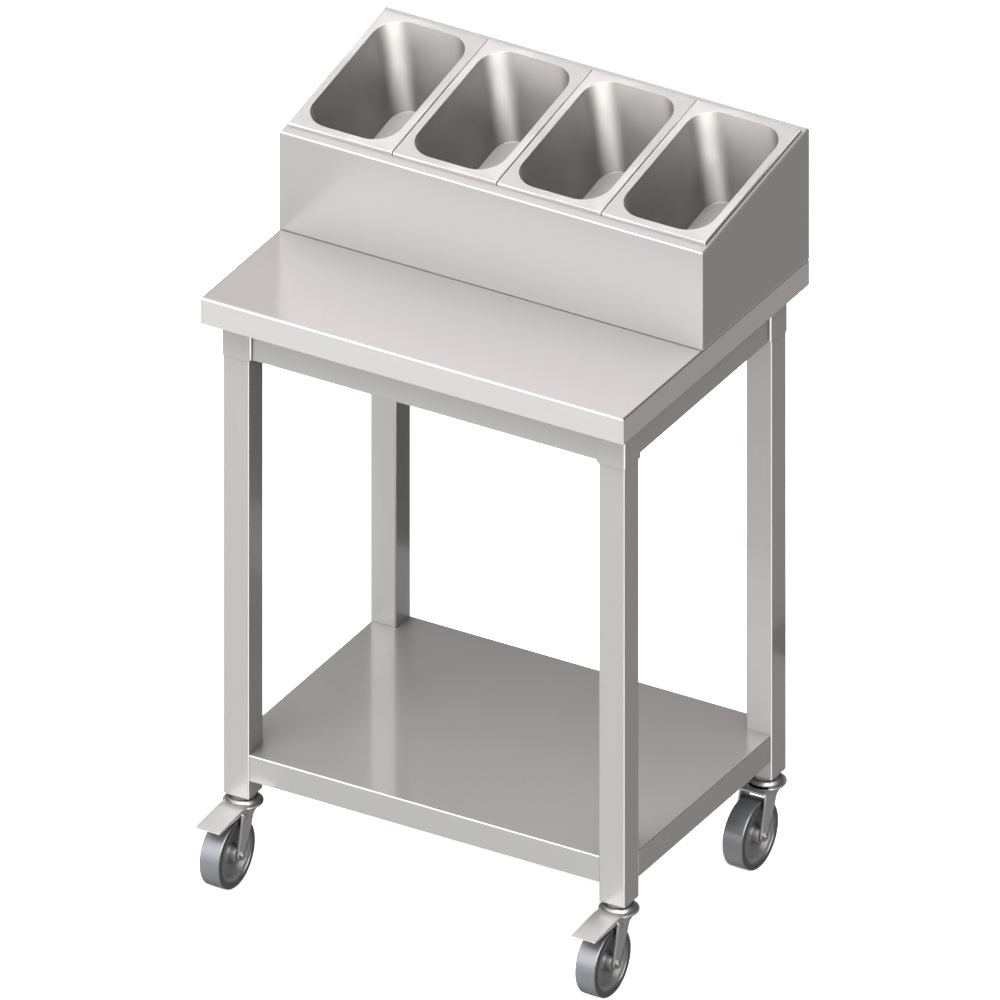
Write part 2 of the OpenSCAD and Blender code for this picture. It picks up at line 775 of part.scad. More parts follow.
swivel_bolt(-1, 1);  // swivel_bolt_rear_left
swivel_bolt(1, 1);  // swivel_bolt_rear_right
fork(-1, -1, true);  // fork_front_left
fork(1, -1, true);  // fork_front_right
fork(-1, 1, false);  // fork_rear_left
fork(1, 1, false);  // fork_rear_right
axle(-1, -1);  // axle_front_left
axle(1, -1);  // axle_front_right
axle(-1, 1);  // axle_rear_left
axle(1, 1);  // axle_rear_right
wheel(-1, -1);  // wheel_front_left
wheel(1, -1);  // wheel_front_right
wheel(-1, 1);  // wheel_rear_left
wheel(1, 1);  // wheel_rear_right
tyre(-1, -1);  // tyre_front_left
tyre(1, -1);  // tyre_front_right
tyre(-1, 1);  // tyre_rear_left
tyre(1, 1);  // tyre_rear_right
pedal(-1, -1);  // pedal_front_left
pedal(1, -1);  // pedal_front_right
pedal_pin(-1, -1);  // pedal_pin_front_left
pedal_pin(1, -1);  // pedal_pin_front_right
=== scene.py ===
"""The looks of a stainless serving trolley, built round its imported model.

Metres, in the model's own frame: +X right, +Y back, +Z up, the floor at Z = 0.
"""

import json
import math

import bpy
import numpy as np
from bpy.props import FloatProperty, FloatVectorProperty, PointerProperty
from mathutils import Matrix, Vector


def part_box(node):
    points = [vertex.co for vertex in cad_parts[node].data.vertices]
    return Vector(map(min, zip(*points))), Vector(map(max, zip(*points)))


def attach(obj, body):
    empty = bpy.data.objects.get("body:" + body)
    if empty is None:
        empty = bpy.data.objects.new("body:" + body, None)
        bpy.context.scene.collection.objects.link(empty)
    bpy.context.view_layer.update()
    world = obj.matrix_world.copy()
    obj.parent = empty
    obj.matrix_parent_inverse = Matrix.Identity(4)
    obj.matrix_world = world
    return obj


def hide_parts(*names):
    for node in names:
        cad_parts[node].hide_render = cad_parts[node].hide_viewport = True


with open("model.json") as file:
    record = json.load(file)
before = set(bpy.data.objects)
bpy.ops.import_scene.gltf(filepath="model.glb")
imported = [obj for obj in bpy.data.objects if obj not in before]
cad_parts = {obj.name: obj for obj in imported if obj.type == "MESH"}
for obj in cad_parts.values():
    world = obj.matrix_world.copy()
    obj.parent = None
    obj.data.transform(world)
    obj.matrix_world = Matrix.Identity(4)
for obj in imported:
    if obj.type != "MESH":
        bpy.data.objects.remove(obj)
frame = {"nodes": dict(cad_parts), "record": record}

bl_info = {
    "name": "Serving Trolley",
    "version": (1, 0, 0),
    "blender": (4, 5, 0),
    "location": "View3D > Sidebar > Trolley",
    "description": "Builds and finishes the pieces of a stainless serving trolley",
    "category": "Object",
}

MM = 0.001
NODE_BODY = {node: body for body, nodes in frame["record"]["behaviour"]["bodies"].items()
             for node in nodes}
NODE_SLOT = {part["node"]: part["material_slot"] for part in frame["record"]["subparts"]}
CORNERS = ("front_left", "front_right", "rear_left", "rear_right")
BRAKED = CORNERS[:2]


# Sizes and colours


def length(name, description, default):
    """A length property whose default is given in millimetres."""
    return FloatProperty(name=name, description=description, default=default * MM, min=0.0,
                         precision=5, unit="LENGTH")


def tint(name, description, default):
    """A colour property."""
    return FloatVectorProperty(name=name, description=description, default=default, min=0.0,
                               max=1.0, size=3, subtype="COLOR")


def share(name, description, default):
    """A property that goes from 0 to 1."""
    return FloatProperty(name=name, description=description, default=default, min=0.0, max=1.0,
                         subtype="FACTOR")


def angle(name, description, default):
    """An angle property whose default is given in degrees."""
    return FloatProperty(name=name, description=description, default=math.radians(default),
                         subtype="ANGLE")


def strength(name, description, default):
    """A property for the strength of a light."""
    return FloatProperty(name=name, description=description, default=default, min=0.0)


class TrolleyFinishes(bpy.types.PropertyGroup):
    """Colours and polish of the trolley's materials"""

    worktop: tint("Worktop steel", "Colour of the worktop's sheet", (0.585, 0.575, 0.572))
    frame: tint("Frame steel", "Colour of the legs, sockets and aprons", (0.350, 0.341, 0.340))
    shelf: tint("Shelf steel", "Colour of the lower shelf's sheet", (0.326, 0.318, 0.314))
    housing: tint("Housing steel", "Colour of the pan housing's sheet", (0.301, 0.287, 0.289))
    pan: tint("Pan steel", "Colour of the pressed pans", (0.480, 0.464, 0.452))
    zinc: tint("Pedal steel", "Colour of the brake pedals", (0.560, 0.545, 0.532))
    fork: tint("Fork steel", "Colour of the forks", (0.365, 0.353, 0.347))
    bolt: tint("Bolt steel", "Colour of the bolts, races and pins", (0.21, 0.203, 0.198))
    tyre: tint("Tyre rubber", "Colour of the grey tyres", (0.085, 0.089, 0.104))
    core: tint("Wheel core", "Colour of the moulded wheel cores", (0.165, 0.166, 0.169))
    steel_roughness: share("Steel roughness", "Roughness of the brushed sheets", 0.36)
    top_roughness: share("Worktop roughness", "Roughness of the worktop's sheet", 0.19)
    caster_roughness: share("Caster roughness", "Roughness of the casters' steel", 0.42)
    pan_roughness: share("Pan roughness", "Roughness of the pressed pans", 0.5)


class TrolleyPans(bpy.types.PropertyGroup):
    """Sizes of the pressed pans and where they sit on the sloping housing"""

    width: length("Width", "Width of a pan over its rim", 162)
    depth_along: length("Length", "Length of a pan over its rim", 265)
    depth: length("Depth", "Depth of a pan below its rim", 150)
    sheet: length("Sheet", "Thickness of the pan's sheet", 0.9)
    gap: length("Gap", "Gap between neighbouring pans", 1)
    rim: length("Rim", "Flat width of the rim", 11.5)
    mouth_corner: length("Mouth corner", "Corner radius of the mouth", 40)
    mouth: length("Mouth radius", "Radius between the rim and the wall", 0.6)
    floor: length("Floor radius", "Radius between the walls and the floor", 0.8)
    lip: length("Lip", "Height of the turned-down lip", 6)
    lip_bend: length("Lip bend", "Outside radius of the lip's bend", 2)
    lip_corner: length("Lip corner", "Corner radius of the lip seen from above", 1.5)
    setback: length("Setback", "From the housing's front edge to the pans", 15)
    seat: length("Seat", "Clearance under the lip", 0.1)
    front_height: length("Front height", "Height of the housing's front edge", 152)
    rear_height: length("Rear height", "Height of the housing's rear edge", 205)
    draft: angle("Draft", "Slope of the pan's walls", 4)


class TrolleyCasters(bpy.types.PropertyGroup):
    """Sizes of the swivel casters, from the floor and from the swivel axis"""

    leg_foot: length("Leg foot", "Height of the leg's foot above the floor", 125)
    collar_radius: length("Collar", "Radius of the plug's collar", 17.5)
    collar: length("Collar height", "Height of the plug's collar", 7)
    core_radius: length("Core", "Radius of the plug inside the leg", 18)
    core: length("Core height", "Height of the plug inside the leg", 45)
    race_radius: length("Race", "Radius of the upper race", 24)
    bolt_radius: length("Bolt", "Radius of the swivel bolt", 6)
    bolt_flats: length("Bolt head", "Size across the flats of the swivel bolt's head", 19)
    crown_top: length("Crown top", "Height of the crown's top", 111)
    crown_radius: length("Crown", "Radius of the round crown", 28)
    plate: length("Plate", "Thickness of the fork's plate", 3)
    bend: length("Bend", "Radius of the bend at the middle of the fork's plate", 4.5)
    arm_inside: length("Arm inside", "Half the width between the fork's arms", 18.5)
    front_edge: length("Front edge", "From the swivel axis to the fork's front edge", 37)
    rear_edge: length("Rear edge", "From the swivel axis to the fork's rear edge", 16.8)
    trail: length("Trail", "From the swivel axis forward to the axle", 43)
    arm_end: length("Arm end", "Radius of the arm's rounded end", 8)
    wheel_radius: length("Wheel radius", "Radius of the wheel", 50)
    tread: length("Tread", "Width of the tread", 32)
    tyre: length("Tyre", "Radial thickness of the tyre", 10)
    hub_radius: length("Hub", "Radius of the wheel's hub", 11)
    hub: length("Hub half", "Half the hub's length", 17.7)
    web: length("Web", "Thickness of the wheel's web", 9)
    axle_radius: length("Axle", "Radius of the axle", 4)
    axle_flats: length("Axle head", "Size across the flats of the axle's head and nut", 11.3)


class TrolleyPedals(bpy.types.PropertyGroup):
    """Sizes of the brake pedals on the front casters"""

    reach: length("Reach", "From the swivel axis to the pedal's front edge", 97)
    width: length("Width", "Width of the pedal", 38)
    plate: length("Plate", "Thickness of the pedal's plate", 2)
    skirt: length("Skirt", "Height of the folded side", 6)
    dip: length("Dip", "How far the tip dips", 5)
    top: length("Top", "Height of the pedal's flat top", 115)
    bend: length("Bend", "From the swivel axis to where the plate starts to dip", 40)
    notch: length("Notch", "Radius of the notch round the race", 25.5)
    rear: length("Rear", "From the swivel axis to the rear corners", 19)
    pin_y: length("Pin ahead", "From the swivel axis forward to the pin", 30)
    pin_z: length("Pin height", "Height of the pin", 103.5)
    pin: length("Pin radius", "Radius of the pin", 2)
    ear: length("Ear", "Half the width between the pedal's ears", 13)
    shoe: length("Shoe", "From the swivel axis forward to the shoe", 58)
    shoe_radius: length("Shoe radius", "Radius of the shoe's bar", 3)


class TrolleyStage(bpy.types.PropertyGroup):
    """The camera's view and the studio round the trolley"""

    azimuth: angle("Azimuth", "How far the camera stands to the right", 30)
    elevation: angle("Elevation", "How far the camera stands up", 30)
    view_width: length("View width", "Width of the parallel view", 1350.8)
    view_right: length("View right", "How far right of the origin the view is centred", 4.9)
    view_up: length("View up", "How far above the origin the view is centred", 496.4)
    floor: tint("Floor", "Colour of the pale floor", (0.90, 0.90, 0.90))
    ambient: strength("Ambient", "Strength of the room's soft light", 0.32)
    key: strength("Key", "Power of the key lamp in watts", 132.0)
    side_lamp: strength("Side lamp", "Strength of the lamp on the pans and casters", 9.5)


# Shapes


def rounded(corners, radii, steps=6):
    """A line through corners, each rounded to its own radius.

    At a corner the circle that touches both sides is walked from one touching point to the
    other in equal angles. A radius of 0 keeps the corner.
    """
    corners = np.asarray(corners, float)
    line = []
    for i, radius in enumerate(radii):
        here = corners[i]
        if radius == 0:
            line.append(here[None])
            continue
        back = corners[i - 1] - here
        on = corners[(i + 1) % len(corners)] - here
        back, on = back / np.linalg.norm(back), on / np.linalg.norm(on)
        half = math.acos(np.clip(back @ on, -1, 1)) / 2
        middle = back + on
        centre = here + middle / np.linalg.norm(middle) * radius / math.sin(half)
        first, last = (here + side * radius / math.tan(half) - centre for side in (back, on))
        start = math.atan2(first[1], first[0])
        sweep = (math.atan2(last[1], last[0]) - start + math.pi) % (2 * math.pi) - math.pi
        angles = start + sweep * np.linspace(0, 1, steps + 1)
        line.append(centre + radius * np.stack([np.cos(angles), np.sin(angles)], -1))
    return np.concatenate(line)


def signed_volume(points, faces):
    """Six times the volume inside faces, negative where they point inwards.

    Each face is split into a fan of triangles, and every triangle adds the triple product of
    its corners.
    """
    fans = np.stack([np.broadcast_to(faces[:, :1], faces[:, 1:-1].shape), faces[:, 1:-1],
                     faces[:, 2:]], -1).reshape(-1, 3)
    a, b, c = (points[fans[:, k]] for k in range(3))
    return float(np.einsum("ij,ij->", a, np.cross(b, c)))


def shell(rings, closed=False):
    """Points, outward faces and UVs of a skin over a grid of rings.

    Row i of the grid is one closed ring. Every ring is joined to the next by four-sided
    faces, the end of each ring to its start. The first and the last ring are capped, or
    joined to each other where closed. U counts the rows and V runs round the ring, and on a
    cap they are the place in metres.
    """
    rows, columns = rings.shape[:2]
    points = rings.reshape(-1, 3)
    index = np.arange(rows * columns).reshape(rows, columns)
    row, column = np.meshgrid(np.arange(rows if closed else rows - 1), np.arange(columns),
                              indexing="ij")
    steps = ((0, 0), (0, 1), (1, 1), (1, 0))
    faces = np.stack([index[(row + i) % rows, (column + j) % columns] for i, j in steps], -1)
    places = np.stack([np.stack([(row + i) / rows, (column + j) / columns], -1)
                       for i, j in steps], -2)
    groups = [(faces.reshape(-1, 4), places.reshape(-1, 4, 2))]
    if not closed:
        groups += [(ends, points[ends][..., :2]) for ends in (index[:1, ::-1], index[-1:])]
    if sum(signed_volume(points, ends) for ends, _ in groups) < 0:
        groups = [(ends[:, ::-1], place[:, ::-1]) for ends, place in groups]
    return (points, [face for ends, _ in groups for face in ends.tolist()],
            np.concatenate([place.reshape(-1, 2) for _, place in groups]))


def turned(profile, around=64):
    """Rings of a solid turned about Z: each (radius, height) of the profile becomes a circle."""
    angles = np.linspace(0, 2 * math.pi, around, endpoint=False)
    radius, height = np.asarray(profile, float).T
    return np.stack([np.outer(radius, np.cos(angles)), np.outer(radius, np.sin(angles)),
                     np.repeat(height[:, None], around, 1)], -1)


def hexagonal(across_flats, profile):
    """Rings of a hexagonal head about Z.

    A ring's radius at an angle is that of the hexagon, cut down to the profile's round
    radius, so the ends are chamfered as on a real head.
    """
    angles = np.linspace(0, 2 * math.pi, 72, endpoint=False)
    flat = across_flats / 2 / np.cos((angles + math.pi / 6) % (math.pi / 3) - math.pi / 6)
    radius, height = np.asarray(profile, float).T
    radius = np.minimum(radius[:, None], flat[None])
    return np.stack([radius * np.cos(angles), radius * np.sin(angles),
                     np.repeat(height[:, None], len(angles), 1)], -1)


def ribbon(path, normals, across, low, high, thickness, edge, steps=3):
    """Rings of a flat plate carried along a bent line, with rounded long edges.

    At each point of the path the plate reaches from low to high in the fixed direction
    across, and half its thickness to either side along the normal. Its four long edges are
    quarter circles of radius edge.
    """
    angles = np.concatenate([np.linspace(q, q + math.pi / 2, steps + 1)
                             for q in np.arange(4) * math.pi / 2])
    right = np.repeat([True, False, False, True], steps + 1)
    top = np.repeat([1, 1, -1, -1], steps + 1)
    side = np.where(right, (high - edge)[:, None], (low + edge)[:, None]) + edge * np.cos(angles)
    through = top * (thickness / 2 - edge) + edge * np.sin(angles)
    return (path[:, None] + side[..., None] * np.asarray(across, float)
            + through[None, :, None] * normals[:, None])


def tube(section, along, low, high):
    """Rings of a straight bar: a closed outline moved along one axis from low to high."""
    section = np.asarray(section, float)
    return np.stack([np.insert(section, along, end, axis=1) for end in (low, high)])


def lying_along_x(rings):
    """Turns rings made about Z so that Z becomes +X."""
    return rings[..., [2, 0, 1]]


def piece(name, node, grids, place, smooth=32.0, closed=False, finish=None):
    """Makes one object from grids of rings, moved to a place, on the body of a CAD node.

    It takes the finish of the node's slot, or that of the slot finish. The side lamp lights
    these pieces, and not the flat sheets that stay from the CAD.
    """
    skins = [shell(rings + np.array(place), closed) for rings in grids]
    points = np.concatenate([skin[0] for skin in skins])
    starts = np.cumsum([0] + [len(skin[0]) for skin in skins])
    faces = [[start + corner for corner in face]
             for start, skin in zip(starts, skins) for face in skin[1]]
    mesh = bpy.data.meshes.new(name)
    mesh.from_pydata(points.tolist(), [], faces)
    mesh.shade_smooth()
    mesh.set_sharp_from_angle(angle=math.radians(smooth))
    mesh.materials.append(slot_material(finish or NODE_SLOT[node]))
    uv = mesh.uv_layers.new(name="UVMap")
    uv.data.foreach_set("uv", np.concatenate([skin[2] for skin in skins]).ravel())
    made = bpy.data.objects.new(name, mesh)
    bpy.context.scene.collection.objects.link(made)
    bpy.data.collections["round_pieces"].objects.link(made)
    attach(made, NODE_BODY[node])
    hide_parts(node)


def caster_place(corner):
    """Where a caster's swivel axis meets the floor: under the middle of its leg."""
    low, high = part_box("leg_" + corner)
    return np.array([(low.x + high.x) / 2, (low.y + high.y) / 2, 0.0])


def axle_place(size, corner):
    """The middle of a caster's axle."""
    return caster_place(corner) + [0, -size.trail, size.wheel_radius]


# Materials


def connect(tree, node, inputs):
    """Gives a node's inputs their values, or links them to the sockets of other nodes."""
    for name, value in inputs.items():
        if isinstance(value, bpy.types.NodeSocket):
            tree.links.new(value, node.inputs[name])
        else:
            node.inputs[name].default_value = value


def add(tree, kind, inputs=None, **settings):
    """Adds a node with its settings and inputs."""
    made = tree.nodes.new(kind)
    for name, value in settings.items():
        setattr(made, name, value)
    connect(tree, made, inputs or {})
    return made


def maths(tree, operation, *values):
    """The result of one operation on numbers or sockets."""
    made = add(tree, "ShaderNodeMath", dict(enumerate(values)), operation=operation)
    return made.outputs["Value"]


def ramp(tree, value, low, high, start=0.0, end=1.0, **settings):
    """Moves a value from start..end to low..high, and holds it there beyond the ends."""
    made = add(tree, "ShaderNodeMapRange", {"Value": value, "From Min": start, "From Max": end,
                                            "To Min": low, "To Max": high}, **settings)
    return made.outputs["Result"]


def spread(tree, value, low, high):
    """Moves noise, which mostly lies between 0.3 and 0.7, to low..high."""
    return ramp(tree, value, low, high, 0.3, 0.7)


def scaled(tree, vector, factor):
    """A vector or a colour times a number."""
    made = add(tree, "ShaderNodeVectorMath", {"Vector": vector, "Scale": factor},
               operation="SCALE")
    return made.outputs["Vector"]


def component(tree, vector, axis):
    """One component of a vector."""
    return add(tree, "ShaderNodeSeparateXYZ", {"Vector": vector}).outputs[axis]


def facing(tree, axis):
    """How far the surface looks along an axis, one way or the other, from 0 to 1."""
    normal = add(tree, "ShaderNodeTexCoord").outputs["Normal"]
    return maths(tree, "ABSOLUTE", component(tree, normal, axis))


def mixed(tree, factor, first, second, kind="RGBA"):
    """A mix of two colours or vectors, each a value or a socket."""
    made = add(tree, "ShaderNodeMix", {"Factor": factor}, data_type=kind)
    ends = [socket for socket in made.inputs if socket.type == kind][-2:]
    for socket, value in zip(ends, (first, second)):
        if isinstance(value, bpy.types.NodeSocket):
            tree.links.new(value, socket)
        else:
            socket.default_value = value
    return next(socket for socket in made.outputs if socket.type == kind)


def noise(tree, vector, scale, detail=2.0, roughness=0.5):
    """Cloudy noise from 0 to 1."""
    made = add(tree, "ShaderNodeTexNoise", {"Vector": vector, "Scale": scale, "Detail": detail,
                                            "Roughness": roughness})
    return made.outputs["Fac"]


def varied(tree, value, colour, dark, light, dust=0.0):
    """The colour times dark where noise is low, and times light plus dust where it is high."""
    colour = np.array(colour)
    return mixed(tree, spread(tree, value, 0.0, 1.0), (*colour * dark, 1),
                 (*np.minimum(colour * light + dust, 1.0), 1))


def shaded(tree, colour, reach, dark):
    """A colour with painted shade: it falls to the share dark of itself where near faces close in
    on a place.
    """
    open_sky = add(tree, "ShaderNodeAmbientOcclusion", {"Distance": reach}, samples=8)
    return scaled(tree, colour, ramp(tree, open_sky.outputs["AO"], dark, 1.0, 0.15, 0.8))


def uneven(tree, roughness, smears, swing, lines, depth):
    """A roughness that smears move by swing, and finer lines by depth, to either side."""
    return maths(tree, "ADD", spread(tree, lines, -depth, depth),
                 spread(tree, smears, roughness - swing, roughness + swing))


def bumped(tree, height, strength, distance, normal=None):
    """A normal bent by fine relief."""
    inputs = {"Height": height, "Strength": strength, "Distance": distance}
    if normal:
        inputs["Normal"] = normal
    return add(tree, "ShaderNodeBump", inputs).outputs["Normal"]


def emptied(owner):
    """The node tree of a new material or world, with nothing in it."""
    owner.use_nodes = True
    owner.node_tree.nodes.clear()
    return owner.node_tree


def blank(name):
    """A new finish, its node tree and its shader."""
    material = bpy.data.materials.new(name)
    tree = emptied(material)
    shader = add(tree, "ShaderNodeBsdfPrincipled")
    add(tree, "ShaderNodeOutputMaterial", {"Surface": shader.outputs["BSDF"]})
    return material, tree, shader


def grain(tree, along, fine=1400.0, long=9.0):
    """The place on the piece, and noise drawn out along the brushing.

    The brushing runs along Z all over, or else along X and down the sides that look along X.
    """
    place = add(tree, "ShaderNodeTexCoord").outputs["Object"]
    lying, upright = (
        add(tree, "ShaderNodeMapping", {"Vector": place, "Scale": scale}).outputs["Vector"]
        for scale in ((long, fine, fine), (fine, fine, long)))
    if along == "Z":
        return place, noise(tree, upright, 1.0, 3.0)
    sideways = maths(tree, "GREATER_THAN", facing(tree, "X"), 0.7)
    return place, noise(tree, mixed(tree, sideways, lying, upright, "VECTOR"), 1.0, 3.0)


def brushed_steel(name, colour, roughness, along="X", gloss=0.5, metal=0.7, seam=0.0):
    """Stainless sheet: fine brushed lines, faint smears, and a thin clear reflection on top.

    Sharp edges are shaded as if dressed to a radius, and on them and on the folds the colour is a
    painted highlight: bare bright metal where the normal leaves all three axes. The first
    millimetre above the height seam has a painted shadow line on the front, and a painted
    highlight on the faces that look along X, where the fold below it shines.
    """
    material, tree, shader = blank(name)
    place, lines = grain(tree, along)
    smears = noise(tree, place, 5.0)
    # painted shadow line on the front and painted highlight on the faces along X, just above the
    # seam
    foot = ramp(tree, facing(tree, "X"), 0.25, 2.2)
    painted_foot_line = ramp(tree, component(tree, place, "Z"), foot, 1.0, seam + 0.8 * MM, seam + 1.6 * MM)
    brushed = scaled(tree, varied(tree, lines, colour, 0.98, 1.02), painted_foot_line)
    edges = add(tree, "ShaderNodeBevel", {"Radius": 1.2 * MM}, samples=6).outputs["Normal"]
    bare = add(tree, "ShaderNodeVectorMath", {"Vector": edges}, operation="ABSOLUTE")
    x, y, z = (component(tree, bare.outputs["Vector"], axis) for axis in "XYZ")
    # painted highlight: the colour turns bare bright metal on edges and folds
    painted_edge_highlight = ramp(tree, maths(tree, "MAXIMUM", maths(tree, "MAXIMUM", x, y), z),
                0.0, 1.0, 0.90, 0.78)
    connect(tree, shader, {
        # painted shade where near faces close in, as under the worktop's overhang
        "Base Color": mixed(tree, painted_edge_highlight, shaded(tree, brushed, 0.3, 0.65),
                            (0.97, 0.96, 0.95, 1)),
        "Metallic": ramp(tree, painted_edge_highlight, metal, 1.0),
        "Roughness": uneven(tree, roughness, smears, 0.01, lines, 0.02),
        "Normal": bumped(tree, lines, 0.02, 0.1 * MM, edges),
        "Coat Weight": gloss,
        "Coat Roughness": 0.09,
        "Coat IOR": 1.9,
        "Coat Normal": edges,
    })
    return material


def pressed_steel(name, colour, roughness):
    """Pressed or plated steel: a fine even grain and faint cloudy smears."""
    material, tree, shader = blank(name)
    place = add(tree, "ShaderNodeTexCoord").outputs["Object"]
    speckle = noise(tree, place, 900.0)
    smears = noise(tree, place, 22.0, 4.0, 0.6)
    connect(tree, shader, {
        "Base Color": varied(tree, smears, colour, 0.96, 1.03),
        "Metallic": 0.9,
        "Roughness": uneven(tree, roughness, smears, 0.03, speckle, 0.02),
        "Normal": bumped(tree, speckle, 0.04, 0.1 * MM),
        "Coat Weight": 0.3,
        "Coat Roughness": 0.15,
        "Coat IOR": 1.8,
    })
    return material


def drawn_steel(name, colour, roughness, stretch):
    """Deep-drawn steel, polished round and round.

    U of the UV map runs up the pan's walls, and reflections are drawn out along it. The
    rim and the floor, which face up, are blasted matt: they scatter the light evenly.
    """
    material, tree, shader = blank(name)
    place = add(tree, "ShaderNodeTexCoord").outputs
    smears = noise(tree, place["Object"], 16.0, 4.0, 0.6)
    wall = ramp(tree, component(tree, place["Normal"], "Z"), 1.0, 0.0, 0.3, 0.85)
    toned = scaled(tree, varied(tree, smears, colour, 0.97, 1.03), ramp(tree, wall, 0.44, 1.0))
    tangent = add(tree, "ShaderNodeTangent", direction_type="UV_MAP", uv_map="UVMap")
    connect(tree, shader, {
        # painted shade down the walls where the pan closes in; the rim and the floor keep their
        # colour
        "Base Color": shaded(tree, toned, 0.16, ramp(tree, wall, 1.0, 0.42)),
        "Metallic": ramp(tree, wall, 0.15, 1.0),
        "Roughness": spread(tree, smears, roughness - 0.03, roughness + 0.03),
        "Anisotropic": stretch,
        "Tangent": tangent.outputs["Tangent"],
    })
    return material


def moulded(name, colour, roughness, coat=0.0, shine=1.5, side=1.0):
    """Rubber or plastic: an even colour with dust in it and a fine matt skin.

    Faces that look along X keep only the share side of the colour and of the coat: a tyre's
    sides get painted shade and a weaker coat, and its tread keeps the full colour.
    """
    material, tree, shader = blank(name)
    place = add(tree, "ShaderNodeTexCoord").outputs["Object"]
    # painted shade on the faces along X, which also weakens their coat
    painted_side_shade = ramp(tree, facing(tree, "X"), 1.0, side, 0.6, 0.95)
    skin = noise(tree, place, 1600.0)
    dust = noise(tree, place, 45.0, 4.0, 0.6)
    dust_and_side_shade = scaled(tree, varied(tree, dust, colour, 0.92, 1.1, 0.004), painted_side_shade)
    connect(tree, shader, {
        # painted shade where near faces close in, as inside the fork and near the floor
        "Base Color": shaded(tree, dust_and_side_shade, 0.05, 0.35),
        "Roughness": spread(tree, dust, roughness - 0.04, roughness + 0.05),
        "Normal": bumped(tree, skin, 0.08, 0.2 * MM),
        "Coat Weight": maths(tree, "MULTIPLY", painted_side_shade, coat),
        "Coat Roughness": 0.3,
        "Coat IOR": shine,
    })
    return material


def birch_board(name):
    """The board under the worktop: pale wood with its grain along X."""
    material, tree, shader = blank(name)
    place = add(tree, "ShaderNodeTexCoord").outputs["Object"]
    drawn_out = add(tree, "ShaderNodeMapping", {"Vector": place, "Scale": (3.0, 60.0, 60.0)})
    figure = noise(tree, drawn_out.outputs["Vector"], 1.0, 5.0, 0.6)
    connect(tree, shader, {
        "Base Color": mixed(tree, spread(tree, figure, 0.0, 1.0), (0.42, 0.29, 0.17, 1),
                            (0.62, 0.47, 0.31, 1)),
        "Roughness": spread(tree, figure, 0.55, 0.7),
    })
    return material


def slot_material(slot):
    """The finish of one of the record's slots, made when it is first asked for.

    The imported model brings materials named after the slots, so a finish has a name of its
    own.
    """
    name = "finish_" + slot
    look = bpy.context.scene.trolley_finishes
    rough = look.steel_roughness
    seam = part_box("housing_front")[0].z
    makers = {
        "worktop_steel": lambda: brushed_steel(name, look.worktop, look.top_roughness,
                                               gloss=0.8, metal=0.9),
        "frame_steel": lambda: brushed_steel(name, look.frame, rough, "Z", metal=0.55),
        "shelf_steel": lambda: brushed_steel(name, look.shelf, rough, gloss=0.8, metal=0.6),
        # the housing's foot gets the painted shadow line and the painted highlight
        "housing_steel": lambda: brushed_steel(name, look.housing, rough, gloss=0.1,
                                               metal=0.35, seam=seam),
        "pan_steel": lambda: drawn_steel(name, look.pan, look.pan_roughness, 0.85),
        "board": lambda: birch_board(name),
        "screw_steel": lambda: pressed_steel(name, look.bolt, look.caster_roughness),
        "fork_steel": lambda: pressed_steel(name, look.fork, look.caster_roughness),
        "pedal_steel": lambda: pressed_steel(name, look.zinc, look.caster_roughness),
        "plug_plastic": lambda: moulded(name, look.core, 0.45),
        "wheel_core": lambda: moulded(name, look.core, 0.38),
        "tyre_rubber": lambda: moulded(name, look.tyre, 0.42, 1.0, 1.55, 0.25),
    }
    return bpy.data.materials.get(name) or makers[slot]()


# Operators


